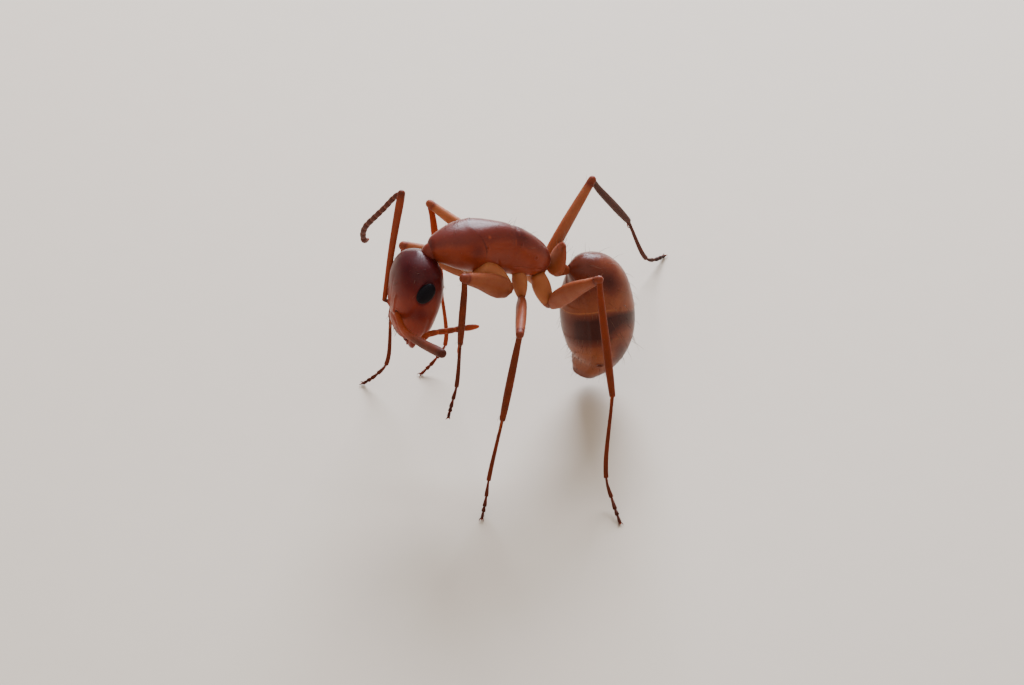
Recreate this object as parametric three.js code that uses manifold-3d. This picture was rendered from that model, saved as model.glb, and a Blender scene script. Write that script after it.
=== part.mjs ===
// Carpenter ant worker, life size: a still model that stands on five feet and draws its left
// antenna past its raised left foreleg. Millimetres, +Z up, floor at Z = 0. The mid-plane of the
// body is the plane Y = 0 before the final shift, the head faces -X, and the left side is -Y.
import * as THREE from "three";
import { mergeVertices } from "three/addons/utils/BufferGeometryUtils.js";
import Module from "manifold-3d";

const wasm = await Module();
wasm.setup();

// ---- driving dimensions ----
const GAP = 0.03; // clearance between neighbouring plates and segments
const LIMB_SIDES = 8;
const BODY_SIDES = 20;
const STEEP = 0.9; // a limb's direction whose rise is over this takes its sides from the Y axis
const WELD = 1e-5; // points closer than this are one point
const FLOOR_SLAB = { side: 30, depth: 2 }; // takes the soles off level
const ORIGIN = [2.1921, -0.7397, 0]; // middle of the whole outline, in the body's own frame

const MESOSOMA = {
  neck: [-1.95, 0, 6.74],
  middle: [0.1, 0, 6.83],
  tail: [1.84, 0, 5.12],
  halfWidths: [0.3, 0.55, 0.75, 0.81, 0.76, 0.66, 0.59, 0.56, 0.53, 0.45, 0.26],
  halfHeights: [0.28, 0.49, 0.66, 0.77, 0.82, 0.84, 0.82, 0.77, 0.69, 0.56, 0.3],
};
const MESOSOMA_PLATES = [ // name, start and end as shares of the length, rings
  ["pronotum", 0.02, 0.37, 8],
  ["mesonotum", 0.37, 0.62, 4],
  ["propodeum", 0.62, 1, 8],
];

const PETIOLE = { base: [2.02, 0, 4.95], rear: [2.5, 0, 4.81], radii: [0.2, 0.26, 0.22, 0.15] };
const SCALE = {
  foot: [2.14, 0, 4.84],
  crest: [2.46, 0, 5.8],
  halfWidths: [0.29, 0.4, 0.42, 0.38, 0.2],
  halfThicknesses: [0.26, 0.24, 0.2, 0.15, 0.08],
};

const GASTER = {
  spine: [
    [2.6, 0, 4.77], [3.05, 0, 4.5], [3.4, 0, 3.93], [3.54, 0, 2.94],
    [3.58, 0, 1.91], [3.48, 0, 1.22], [3.2, 0, 0.7], [2.94, 0, 0.4],
  ],
  halfWidths: [0.13, 0.58, 0.89, 1.05, 1.13, 1.17, 1.18, 1.16, 1.09, 0.97, 0.78, 0.55, 0.26],
  halfHeights: [0.13, 0.6, 0.9, 1.06, 1.13, 1.17, 1.18, 1.16, 1.09, 0.98, 0.81, 0.63, 0.36],
};
const GASTER_CUTS = [0, 0.36, 0.6, 0.77, 0.9, 1]; // where one segment's plate ends
const GASTER_RINGS = [9, 5, 4, 3, 4];

const HEAD = {
  vertex: [-2.18, 0, 6.78],
  mouth: [-2.72, -0.5, 4.08],
  halfWidths: [0.4, 0.9, 1.07, 1.08, 1.0, 0.89, 0.76, 0.54],
  halfHeights: [0.26, 0.62, 0.76, 0.79, 0.77, 0.7, 0.6, 0.42],
};
const EYE = { share: 0.325, turn: 85, tilt: 35, length: 0.37, width: 0.27, depth: 0.16, sink: 0.05 };
const MANDIBLE = {
  back: 0.3, // how far its base lies up the head from the mouth
  reach: 0.28, // how far its tip lies beyond the mouth
  baseOffset: 0.38,
  tipOffset: 0.2,
  halfWidths: [0.15, 0.15, 0.13, 0.1],
  halfThicknesses: [0.22, 0.22, 0.18, 0.13],
};

const SCAPE_RADII = [0.23, 0.25, 0.25, 0.26];
const FUNICULUS_RADII = [0.24, 0.25, 0.25, 0.25, 0.24];
const ANTENNAE = {
  left: {
    scape: [[-3.2, -0.72, 5.16], [-3.23, -1.5, 5.13], [-3.05, -2.5, 5.4], [-2.77, -3.62, 5.78]],
    funiculus: [
      [-2.63, -3.22, 5.43], [-2.72, -2.65, 5.18], [-2.79, -2.15, 4.99],
      [-2.78, -1.85, 4.89], [-2.57, -1.62, 4.84], [-2.31, -1.48, 4.76],
      [-1.84, -1.25, 4.52], [-1.27, -0.96, 4.22], [-0.68, -1.02, 4.2],
    ],
  },
  right: {
    scape: [[-3.3, 0.15, 5.08], [-2.65, 1.24, 6.19], [-1.97, 2.3, 7.25]],
    funiculus: [
      [-2.0, 2.42, 7.15], [-2.07, 2.56, 6.98], [-2.38, 3.1, 6.03],
      [-2.66, 3.68, 5.12], [-2.67, 4.0, 4.53], [-2.56, 4.16, 4.13],
    ],
  },
};

// Lengths of each pair of legs, hip to knee, knee to ankle, ankle to heel and heel to toe.
const LEG_LENGTHS = {
  fore: [2.4, 2.6, 1.55, 1.15],
  mid: [3.3, 3.05, 2.0, 1.2],
  hind: [3.6, 3.93, 2.48, 1.55],
};
const COXA_RADII = { fore: [0.36, 0.4, 0.26], mid: [0.26, 0.28, 0.24], hind: [0.3, 0.3, 0.24] };
// A thigh is deepest near the hip and flatter from side to side; the radii run from hip to knee.
const FEMUR_DEPTHS = {
  fore: [0.3, 0.37, 0.35, 0.3, 0.24],
  mid: [0.25, 0.28, 0.27, 0.25, 0.22],
  hind: [0.26, 0.3, 0.28, 0.25, 0.22],
};
const FEMUR_STARTS = { fore: 0.3, mid: 0.04, hind: 0.04 }; // how far along from the hip
const FEMUR_BREADTHS = [0.24, 0.26, 0.26, 0.25, 0.22];
const TIBIA_RADII = [0.22, 0.25, 0.25, 0.25, 0.22];
const TARSUS_RADII = [0.22, 0.25, 0.25, 0.25, 0.25, 0.25];
const TOE_HEIGHT = 0.17; // the toe's middle above the floor, under its radius, so the sole is flat
const ARCH = { share: 0.45, drop: 0.12 }; // where the foot's middle joint lies, and how far it sags

// Each leg: where its coxa leaves the body, the hip, and the azimuth and elevation of its segments.
const LEGS = [
  {
    name: "left_fore", pair: "fore", root: [-0.46, -0.66, 6.12], hip: [0.36, -0.88, 5.2],
    angles: [[-157.2, 39.4], [149.7, -87.1], [-147.5, -82.9], [-172.2, -75.6]], lifted: true,
  },
  {
    name: "right_fore", pair: "fore", root: [-0.5, 0.46, 5.9], hip: [-0.2, 0.7, 4.88],
    angles: [[135.5, 5.2], [-162.7, -78.2], [-126.6, -73.7], [147.4, -48.5]],
  },
  {
    name: "left_mid", pair: "mid", root: [0.86, -0.32, 5.34], hip: [0.87, -0.58, 4.53],
    angles: [[-111.1, 20.2], [-159.1, -76.8], [-144.3, -68.4], [-123, -40.3]],
  },
  {
    name: "right_mid", pair: "mid", root: [0.9, 0.32, 5.4], hip: [1.0, 0.6, 4.75],
    angles: [[124.7, 19.5], [-71.9, -79.8], [-92.4, -79.2], [-168.8, -44.1]],
  },
  {
    name: "left_hind", pair: "hind", root: [1.5, -0.3, 5.0], hip: [1.72, -0.6, 4.04],
    angles: [[-72.1, 46.4], [-85.6, -75.1], [-118.1, -57.7], [-92.8, -25.9]],
  },
  {
    name: "right_hind", pair: "hind", root: [1.5, 0.3, 5.0], hip: [1.72, 0.6, 4.04],
    angles: [[30.1, 39.8], [39.3, -54.5], [36.9, -64.2], [41, -33.7]],
  },
];

const COLOURS = {
  head: 0x5a2417,
  trunk: 0x8a3d1c,
  leg: 0xa85a28,
  shin: 0x7a3018,
  tarsus: 0x5e2818,
  gaster: 0x8a4a24,
  eye: 0x0c0c12,
};

// ---- shape helpers ----
const vec = (p) => new THREE.Vector3(...p);

// A smooth curve through evenly spaced values, read at a share from 0 to 1.
function profile(values) {
  const curve = new THREE.CatmullRomCurve3(values.map((value, i) => new THREE.Vector3(i, value, 0)));
  return (share) => curve.getPoint(share).y;
}

// A closed solid whose rings follow the stations { at, side, up }: a cylinder, bent and swollen.
function loft(stations, sides) {
  const blank = new THREE.CylinderGeometry(1, 1, 1, sides, stations.length - 1);
  const place = blank.getAttribute("position");
  for (let i = 0; i < place.count; i += 1) {
    const { at, side, up } = stations[Math.round((0.5 - place.getY(i)) * (stations.length - 1))];
    const point = at.clone().addScaledVector(side, place.getX(i)).addScaledVector(up, place.getZ(i));
    place.setXYZ(i, point.x, point.y, point.z);
  }
  blank.deleteAttribute("normal");
  blank.deleteAttribute("uv");
  const merged = mergeVertices(blank, WELD);
  const first = stations[0];
  const along = stations[1].at.clone().sub(first.at);
  if (first.side.clone().cross(first.up).dot(along) < 0) {
    const index = merged.getIndex();
    for (let i = 0; i < index.count; i += 3) {
      const swapped = index.getX(i);
      index.setX(i, index.getX(i + 1));
      index.setX(i + 1, swapped);
    }
  }
  return merged;
}

// A body part round a curve in the mid-plane, or round any curve with a fixed lateral direction.
function trunk(curve, lateral, halfWidth, halfHeight, [from, to], rings, grow = 0) {
  const ends = GAP / curve.getLength() / 2;
  const start = from + ends - grow / curve.getLength();
  const finish = to - ends + grow / curve.getLength();
  const stations = [];
  for (let i = 0; i <= rings; i += 1) {
    const share = THREE.MathUtils.clamp(start + ((finish - start) * i) / rings, 0, 1);
    const along = curve.getTangentAt(share);
    const up = new THREE.Vector3().crossVectors(along, lateral).normalize();
    stations.push({
      at: curve.getPointAt(share),
      side: lateral.clone().multiplyScalar(halfWidth(share) + grow),
      up: up.multiplyScalar(halfHeight(share) + grow),
    });
  }
  return loft(stations, BODY_SIDES);
}

// A limb along a curve, with radii spread evenly from end to end and both ends pulled back. With a
// lateral direction given, breadths are its radii that way and radii those across it.
function limb(points, radii, pulls, rings, grow = 0, lateral = null, breadths = radii) {
  const curve = new THREE.CatmullRomCurve3(points.map(vec), false, "centripetal");
  const length = curve.getLength();
  const depth = profile(radii);
  const breadth = profile(breadths);
  const start = (pulls[0] - grow) / length;
  const finish = 1 - (pulls[1] - grow) / length;
  const stations = [];
  let side = lateral;
  for (let i = 0; i <= rings; i += 1) {
    const share = THREE.MathUtils.lerp(start, finish, i / rings);
    const inside = THREE.MathUtils.clamp(share, 0, 1);
    const along = curve.getTangentAt(inside);
    const at = curve.getPointAt(inside).addScaledVector(along, (share - inside) * length);
    if (!side) {
      const level = new THREE.Vector3(0, 0, 1);
      if (Math.abs(along.z) > STEEP) level.set(0, -1, 0);
      side = new THREE.Vector3().crossVectors(along, level);
    }
    side = side.clone().addScaledVector(along, -side.dot(along)).normalize();
    stations.push({
      at,
      side: side.clone().multiplyScalar(breadth(inside) + grow),
      up: new THREE.Vector3().crossVectors(side, along).multiplyScalar(depth(inside) + grow),
    });
  }
  return loft(stations, LIMB_SIDES);
}

// ---- joining and cutting ----
function toSolid(geometry) {
  const vertProperties = new Float32Array(geometry.getAttribute("position").array);
  const triVerts = new Uint32Array(geometry.getIndex().array);
  return new wasm.Manifold(new wasm.Mesh({ numProp: 3, vertProperties, triVerts }));
}

function fromSolid(solid) {
  const mesh = solid.getMesh();
  const geometry = new THREE.BufferGeometry();
  geometry.setAttribute("position", new THREE.BufferAttribute(new Float32Array(mesh.vertProperties), 3));
  geometry.setIndex(new THREE.BufferAttribute(new Uint32Array(mesh.triVerts), 1));
  return geometry;
}

function cut(geometry, cutters) {
  return fromSolid(cutters.reduce((solid, cutter) => solid.subtract(toSolid(cutter)), toSolid(geometry)));
}

const group = new THREE.Group();

function add(name, geometry, colour) {
  const material = new THREE.MeshStandardMaterial({ color: colour, roughness: 0.35, metalness: 0 });
  const mesh = new THREE.Mesh(geometry, material);
  mesh.name = name;
  group.add(mesh);
}

// ---- trunk, petiole and gaster ----
const acrossBody = new THREE.Vector3(0, 1, 0);
const mesosomaCurve = new THREE.QuadraticBezierCurve3(
  vec(MESOSOMA.neck),
  vec(MESOSOMA.middle),
  vec(MESOSOMA.tail),
);
const mesosomaWidth = profile(MESOSOMA.halfWidths);
const mesosomaHeight = profile(MESOSOMA.halfHeights);
const mesosoma = (shares, rings, grow) =>
  trunk(mesosomaCurve, acrossBody, mesosomaWidth, mesosomaHeight, shares, rings, grow);
const wholeMesosoma = mesosoma([0, 1], 20, GAP);

function addMesosoma() {
  for (const [name, start, end, rings] of MESOSOMA_PLATES) {
    add(name, cut(mesosoma([start, end], rings), [headShell(GAP)]), COLOURS.trunk);
  }
}

function addPetiole() {
  const joint = limb([PETIOLE.base, PETIOLE.rear], PETIOLE.radii, [0, 0], 4);
  const curve = new THREE.LineCurve3(vec(SCALE.foot), vec(SCALE.crest));
  const width = profile(SCALE.halfWidths);
  const plate = trunk(curve, acrossBody, width, profile(SCALE.halfThicknesses), [0, 1], 6);
  const whole = fromSolid(toSolid(plate).add(toSolid(joint)));
  add("petiole", cut(whole, [wholeMesosoma, gaster([0, GASTER_CUTS[1]], GASTER_RINGS[0], GAP)]), COLOURS.leg);
}

const gasterCurve = new THREE.CatmullRomCurve3(GASTER.spine.map(vec), false, "centripetal");
const gasterWidth = profile(GASTER.halfWidths);
const gasterHeight = profile(GASTER.halfHeights);
const gaster = (shares, rings, grow) =>
  trunk(gasterCurve, acrossBody, gasterWidth, gasterHeight, shares, rings, grow);

function addGaster() {
  GASTER_CUTS.slice(1).forEach((end, i) => {
    add(`gaster_${i + 1}`, gaster([GASTER_CUTS[i], end], GASTER_RINGS[i]), COLOURS.gaster);
  });
}

// ---- head ----
const headAlong = vec(HEAD.mouth).sub(vec(HEAD.vertex));
const headLength = headAlong.length();
headAlong.normalize();
const faceForward = new THREE.Vector3(-1, 0, 0);
faceForward.addScaledVector(headAlong, -faceForward.dot(headAlong)).normalize();
const headLateral = new THREE.Vector3().crossVectors(headAlong, faceForward).normalize(); // to its right
const headCurve = new THREE.LineCurve3(vec(HEAD.vertex), vec(HEAD.mouth));
const headWidth = profile(HEAD.halfWidths);
const headHeight = profile(HEAD.halfHeights);
const headShell = (grow) => trunk(headCurve, headLateral, headWidth, headHeight, [0, 1], 12, grow);

// A point on the head, from its share of the length and its turn from the face towards one side.
function onHead(share, turn, sideSign, outward = 1) {
  const angle = THREE.MathUtils.degToRad(turn);
  return headCurve.getPointAt(share)
    .addScaledVector(headLateral, sideSign * Math.sin(angle) * headWidth(share) * outward)
    .addScaledVector(faceForward, Math.cos(angle) * headHeight(share) * outward);
}

function eyeball(sideSign, grow) {
  const centre = onHead(EYE.share, EYE.turn, sideSign);
  const outward = onHead(EYE.share, EYE.turn, sideSign, 1.2).sub(centre).normalize();
  centre.addScaledVector(outward, -EYE.sink);
  const ball = new THREE.SphereGeometry(1, 16, 8);
  ball.scale(EYE.width + grow, EYE.depth + grow, EYE.length + grow);
  const down = headAlong.clone().addScaledVector(outward, -headAlong.dot(outward)).normalize();
  const tilt = THREE.MathUtils.degToRad(EYE.tilt) * sideSign;
  const along = down.applyAxisAngle(outward, tilt);
  const across = new THREE.Vector3().crossVectors(outward, along);
  ball.applyMatrix4(new THREE.Matrix4().makeBasis(across, outward, along).setPosition(centre));
  ball.deleteAttribute("normal");
  ball.deleteAttribute("uv");
  return mergeVertices(ball, WELD);
}

function addHead() {
  const sides = { left: -1, right: 1 };
  const sockets = Object.values(sides).map((sign) => eyeball(sign, GAP));
  add("head", cut(headShell(0), sockets), COLOURS.head);
  const width = profile(MANDIBLE.halfWidths);
  const thickness = profile(MANDIBLE.halfThicknesses);
  for (const [side, sign] of Object.entries(sides)) {
    add(`eye_${side}`, eyeball(sign, 0), COLOURS.eye);
    const base = vec(HEAD.mouth)
      .addScaledVector(headLateral, sign * MANDIBLE.baseOffset)
      .addScaledVector(headAlong, -MANDIBLE.back);
    const tip = vec(HEAD.mouth)
      .addScaledVector(headLateral, sign * MANDIBLE.tipOffset)
      .addScaledVector(headAlong, MANDIBLE.reach);
    const blade = trunk(new THREE.LineCurve3(base, tip), headLateral, width, thickness, [0, 1], 4);
    add(`mandible_${side}`, cut(blade, [headShell(GAP)]), COLOURS.head);
  }
}

function addAntennae() {
  for (const [side, { scape, funiculus }] of Object.entries(ANTENNAE)) {
    const scapeLimb = (grow) => limb(scape, SCAPE_RADII, [0, 0], 5, grow);
    add(`scape_${side}`, cut(scapeLimb(0), [headShell(GAP)]), COLOURS.leg);
    const flagellum = limb(funiculus, FUNICULUS_RADII, [0, 0], 12);
    add(`funiculus_${side}`, cut(flagellum, [scapeLimb(GAP), headShell(GAP)]), COLOURS.leg);
  }
}

// ---- legs ----
function heading([azimuth, elevation]) {
  const turn = THREE.MathUtils.degToRad(azimuth);
  const rise = THREE.MathUtils.degToRad(elevation);
  return new THREE.Vector3(Math.cos(rise) * Math.cos(turn), Math.cos(rise) * Math.sin(turn), Math.sin(rise));
}

// Hip, knee, ankle, heel and toe. A standing leg's toe is set on the floor under its own end.
function joints({ pair, hip, angles, lifted }) {
  const points = [vec(hip)];
  LEG_LENGTHS[pair].forEach((length, i) => {
    points.push(points[i].clone().addScaledVector(heading(angles[i]), length));
  });
  if (!lifted) points[4].z = TOE_HEIGHT;
  return points.map((point) => point.toArray());
}

function addLeg(leg) {
  const [hip, knee, ankle, heel, toe] = joints(leg);
  const thigh = vec(knee).sub(vec(hip));
  const hinge = new THREE.Vector3().crossVectors(thigh, vec(ankle).sub(vec(knee))).normalize();
  const depths = FEMUR_DEPTHS[leg.pair];
  const coxa = (grow) => limb([leg.root, hip], COXA_RADII[leg.pair], [0, 0.02], 4, grow);
  const pulls = [FEMUR_STARTS[leg.pair], 0.1];
  const femur = (grow) => limb([hip, knee], depths, pulls, 6, grow, hinge, FEMUR_BREADTHS);
  const tibia = (grow) => limb([knee, ankle], TIBIA_RADII, [0.12, 0.03], 6, grow);
  const middle = vec(heel).lerp(vec(toe), ARCH.share).toArray();
  middle[2] = Math.max(middle[2] - ARCH.drop, TOE_HEIGHT);
  const foot = limb([ankle, heel, middle, toe], TARSUS_RADII, [0.05, 0], 10);
  const floor = new THREE.BoxGeometry(FLOOR_SLAB.side, FLOOR_SLAB.side, FLOOR_SLAB.depth);
  floor.translate(toe[0], toe[1], -FLOOR_SLAB.depth / 2);
  floor.deleteAttribute("normal");
  floor.deleteAttribute("uv");
  add(`${leg.name}_coxa`, cut(coxa(0), [wholeMesosoma]), COLOURS.leg);
  add(`${leg.name}_femur`, cut(femur(0), [coxa(GAP), wholeMesosoma]), COLOURS.leg);
  add(`${leg.name}_tibia`, cut(tibia(0), [femur(GAP)]), COLOURS.shin);
  add(`${leg.name}_tarsus`, cut(foot, [tibia(GAP), mergeVertices(floor)]), COLOURS.tarsus);
}

addMesosoma();
addGaster();
addPetiole();
addHead();
addAntennae();
LEGS.forEach(addLeg);
group.position.set(...ORIGIN).negate();

export default group;
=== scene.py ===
"""A carpenter ant worker, life size, as a still museum model: it stands on five feet and draws its
left antenna past its raised left foreleg. Shapes are worked out in millimetres in the body's own frame
(mid-plane Y = 0, head towards -X, left side -Y, floor Z = 0), then shifted to the frame's origin and
written in metres."""
from math import cos, pi, radians, sin

import bpy
import numpy as np
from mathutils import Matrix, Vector


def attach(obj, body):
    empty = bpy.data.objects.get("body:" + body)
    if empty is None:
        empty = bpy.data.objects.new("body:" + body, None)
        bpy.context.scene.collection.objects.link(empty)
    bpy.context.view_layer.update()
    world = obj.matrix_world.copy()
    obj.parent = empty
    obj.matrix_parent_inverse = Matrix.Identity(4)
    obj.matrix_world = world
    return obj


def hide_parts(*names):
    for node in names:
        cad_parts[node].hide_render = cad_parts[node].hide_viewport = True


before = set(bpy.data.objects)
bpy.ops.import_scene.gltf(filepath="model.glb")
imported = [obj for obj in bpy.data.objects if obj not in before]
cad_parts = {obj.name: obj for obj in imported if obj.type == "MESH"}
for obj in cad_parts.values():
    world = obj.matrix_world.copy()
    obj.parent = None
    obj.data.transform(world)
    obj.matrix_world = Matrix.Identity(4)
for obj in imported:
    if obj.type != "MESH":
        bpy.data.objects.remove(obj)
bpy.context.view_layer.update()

MM = 0.001
ORIGIN = np.array([2.1921, -0.7397, 0.0])  # as in the solids: the middle of the whole outline
SEED = 7
rng = np.random.default_rng(SEED)
UP = np.array([0.0, 0.0, 1.0])
RIGHT = np.array([0.0, 1.0, 0.0])  # the ant's right side

# ---- driving dimensions, mm ----
MESOSOMA_LINE = ((-1.95, 0, 6.74), (0.1, 0, 6.83), (1.84, 0, 5.12))  # a quadratic curve's three points
MESOSOMA_WIDTHS = (0.3, 0.55, 0.75, 0.81, 0.76, 0.66, 0.59, 0.56, 0.53, 0.45, 0.26)
MESOSOMA_HEIGHTS = (0.28, 0.49, 0.66, 0.77, 0.82, 0.84, 0.82, 0.77, 0.69, 0.56, 0.3)
SPIRACLES = ((0.375, 62, 0.02), (0.64, 50, 0.018), (0.80, 66, 0.024))  # share, degrees aside, size
SCALE_FOOT, SCALE_CREST = (2.14, 0, 4.84), (2.46, 0, 5.8)
STALK_LINE = ((2.06, 0, 4.94), (2.3, 0, 4.84), (2.58, 0, 4.7))
GASTER_LINE = (
    (2.6, 0, 4.77), (3.05, 0, 4.5), (3.4, 0, 3.93), (3.54, 0, 2.94),
    (3.58, 0, 1.91), (3.47, 0, 1.2), (3.23, 0, 0.7), (3.05, 0, 0.38),
)
GASTER_WIDTHS = (0.13, 0.58, 0.89, 1.05, 1.13, 1.17, 1.18, 1.16, 1.09, 0.97, 0.78, 0.55, 0.26)
GASTER_HEIGHTS = (0.13, 0.6, 0.9, 1.06, 1.13, 1.17, 1.18, 1.16, 1.09, 0.97, 0.78, 0.57, 0.34)
GASTER_CUTS = (0, 0.42, 0.65, 0.81, 0.92, 1)  # the plates' nominal ends, as shares of the line
GASTER_PIT = (0.787, 101)  # share and degrees aside of the pit on each flank
HEAD_VERTEX, HEAD_MOUTH = (-2.18, 0.0, 6.78), (-2.72, -0.5, 4.08)
HEAD_WIDTHS = (0.4, 0.9, 1.07, 1.08, 1.0, 0.89, 0.76, 0.54)
HEAD_HEIGHTS = (0.26, 0.62, 0.76, 0.79, 0.77, 0.70, 0.6, 0.42)
SOCKET_SHARE, SOCKET_TURN = 0.66, radians(24)  # where the antennae stand on the face
EYE_SHARE, EYE_TURN, EYE_TILT = 0.325, radians(85), radians(35)
EYE_SIZE = (0.27, 0.16, 0.37)  # half width, half depth, half length
EYE_SINK = 0.05
COAT_DEPTH = 0.02  # the shells lie this far inside the solids

SCAPES = {
    "left": ((-3.2, -0.72, 5.16), (-3.23, -1.5, 5.13), (-3.05, -2.5, 5.4), (-2.77, -3.62, 5.78)),
    "right": ((-3.3, 0.15, 5.08), (-2.65, 1.24, 6.19), (-1.97, 2.3, 7.25)),
}
SCAPE_SIZE = {"left": 0.148, "right": 0.122}
SCAPE_DUSK = {"left": 0.28, "right": 0.06}  # how much darker the outer half is
FUNICULI = {
    "left": ((-2.63, -3.22, 5.43), (-2.72, -2.65, 5.18), (-2.79, -2.15, 4.99), (-2.78, -1.85, 4.89),
             (-2.57, -1.62, 4.84), (-2.31, -1.48, 4.76), (-1.86, -1.31, 4.57), (-1.3, -1.05, 4.3),
             (-0.68, -1.02, 4.2)),
    "right": ((-2.07, 2.52, 7.0), (-2.38, 3.1, 6.03), (-2.66, 3.68, 5.12), (-2.67, 4.0, 4.53),
              (-2.56, 4.16, 4.13), (-2.42, 4.24, 4.09)),
}
FUNICULUS_TONE = {"left": 0.2, "right": 0.62}
FUNICULUS_JOINTS = 11

LEG_LENGTHS = {  # femur, tibia, basitarsus and the rest of the foot
    "fore": (2.4, 2.6, 1.55, 1.15),
    "mid": (3.3, 3.05, 2.0, 1.2),
    "hind": (3.6, 3.93, 2.48, 1.55),
}
LEGS = (  # name, pair, coxa's root, hip, azimuth and elevation of femur, tibia, basitarsus and foot, lifted
    ("left_fore", "fore", (-0.46, -0.66, 6.12), (0.36, -0.88, 5.2),
     ((-157.2, 39.4), (149.7, -87.1), (-147.5, -82.9), (-172.2, -75.6)), True),
    ("right_fore", "fore", (-0.5, 0.46, 5.9), (-0.2, 0.7, 4.88),
     ((135.5, 5.2), (-162.7, -78.2), (-126.6, -73.7), (147.4, -48.5)), False),
    ("left_mid", "mid", (0.86, -0.32, 5.34), (0.87, -0.58, 4.53),
     ((-111.1, 20.2), (-159.1, -76.8), (-144.3, -68.4), (-123, -40.3)), False),
    ("right_mid", "mid", (0.9, 0.32, 5.4), (1.0, 0.6, 4.75),
     ((124.7, 19.5), (-71.9, -79.8), (-92.4, -79.2), (-168.8, -44.1)), False),
    ("left_hind", "hind", (1.5, -0.3, 5.0), (1.72, -0.6, 4.04),
     ((-72.1, 46.4), (-85.6, -75.1), (-118.1, -57.7), (-92.8, -25.9)), False),
    ("right_hind", "hind", (1.5, 0.3, 5.0), (1.72, 0.6, 4.04),
     ((30.1, 39.8), (39.3, -54.5), (36.9, -64.2), (41.0, -33.7)), False),
)
COXA_SIZE = {"fore": 0.4, "mid": 0.235, "hind": 0.28}
FEMUR_SIZE = {"fore": 0.36, "mid": 0.27, "hind": 0.29}  # half height; the sides are flatter
FEMUR_DEPTHS = {  # hip to knee, as shares of the half height
    "fore": (0.8, 0.98, 1.0, 0.95, 0.86, 0.74, 0.64, 0.54, 0.42),
    "mid": (0.62, 0.92, 1.0, 0.98, 0.9, 0.8, 0.66, 0.56, 0.5),
    "hind": (0.7, 0.95, 1.0, 0.98, 0.88, 0.74, 0.6, 0.5, 0.44),
}
FEMUR_BREADTH = {"fore": 0.2, "mid": 0.168, "hind": 0.165}
FEMUR_START = {"fore": 0.16, "mid": 0.25, "hind": 0.25}  # from the hip, inside the trochanter
FEMUR_BOW = 0.06
TIBIA_SIZE = {"fore": 0.105, "mid": 0.115, "hind": 0.118}
TIBIA_BOW = 0.04
SPUR = {"fore": (0.45, 0.03), "mid": (0.42, 0.02), "hind": (0.42, 0.02)}  # length and radius
TARSUS_SIZES = (0.062, 0.05, 0.05, 0.05, 0.048)
TARSUS_ENDS = (0.40, 0.66, 0.80, 1.0)  # of the four short joints, as shares from heel to toe
TOE_HEIGHT = 0.055  # the real toe's middle above the floor
SOLE_HEIGHT = 0.001  # nothing of a standing foot is lower
LEG_TONES = {  # femur, tibia, foot
    "left_fore": (0.38, 0.45, 0.72),
    "left_mid": (0.44, 0.45, 0.58),
    "left_hind": (0.4, 0.4, 0.58),
    "right_fore": (0.2, 0.35, 0.6),
    "right_mid": (0.1, 0.15, 0.35),
    "right_hind": (0.32, 0.8, 0.85),
}


# ---- curves ----
def spline(points, at):
    """A centripetal Catmull-Rom curve through points, read at shares 0..1 of its point count."""
    points = np.asarray(points, float)
    padded = np.vstack([2 * points[0] - points[1], points, 2 * points[-1] - points[-2]])
    place = np.clip(np.asarray(at, float), 0, 1) * (len(points) - 1)
    index = np.minimum(place.astype(int), len(points) - 2)
    t = (place - index)[:, None]
    p0, p1, p2, p3 = (padded[index + k] for k in range(4))
    d1 = np.sqrt(np.linalg.norm(p1 - p0, axis=1))[:, None]
    d2 = np.sqrt(np.linalg.norm(p2 - p1, axis=1))[:, None]
    d3 = np.sqrt(np.linalg.norm(p3 - p2, axis=1))[:, None]
    m1 = (p2 - p1 + d2 * ((p1 - p0) / d1 - (p2 - p0) / (d1 + d2)))
    m2 = (p2 - p1 + d2 * ((p3 - p2) / d3 - (p3 - p1) / (d2 + d3)))
    return ((2 * t**3 - 3 * t**2 + 1) * p1 + (t**3 - 2 * t**2 + t) * m1
            + (-2 * t**3 + 3 * t**2) * p2 + (t**3 - t**2) * m2)


def quadratic(points):
    a, b, c = (np.array(p, float) for p in points)
    t = np.linspace(0, 1, 60)[:, None]
    return a * (1 - t) ** 2 + 2 * b * t * (1 - t) + c * t**2


def profile(values):
    """A smooth function of a share 0..1 through evenly spaced values."""
    points = [(i, value) for i, value in enumerate(values)]
    return lambda share: spline(points, np.atleast_1d(share))[:, 1]


def domed(values, first, last):
    """A profile drawn in to nothing, as a dome, over a share first of its start and last of its end."""
    shape = profile(values)

    def drawn_in(share):
        share = np.atleast_1d(share)
        near = np.clip(share / first, 0, 1) if first else np.ones_like(share)
        far = np.clip((1 - share) / last, 0, 1)
        return shape(share) * np.sqrt(near * (2 - near) * far * (2 - far) + 1e-6)
    return drawn_in


def stretched(shape, size, start=0, finish=1):
    """A profile times a size, spread over the part of a line between two of its shares."""
    return lambda share: shape(np.clip((share - start) / (finish - start), 0, 1)) * size


def bump(x, centre, width):
    return np.exp(-(((x - centre) / width) ** 2))


def ramp(x, low, high):
    t = np.clip((x - low) / (high - low), 0, 1)
    return t * t * (3 - 2 * t)


def span(x, low, risen, falling, high):
    """1 from risen to falling, easing to 0 at low and at high."""
    return ramp(x, low, risen) * (1 - ramp(x, falling, high))


def unit(vectors):
    vectors = np.asarray(vectors, float)
    return vectors / np.linalg.norm(vectors, axis=-1, keepdims=True)


def progress(points, start, finish):
    """How far points lie on the way from start to finish, as a share of it."""
    return (points - start) @ unit(finish - start) / np.linalg.norm(finish - start)


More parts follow.
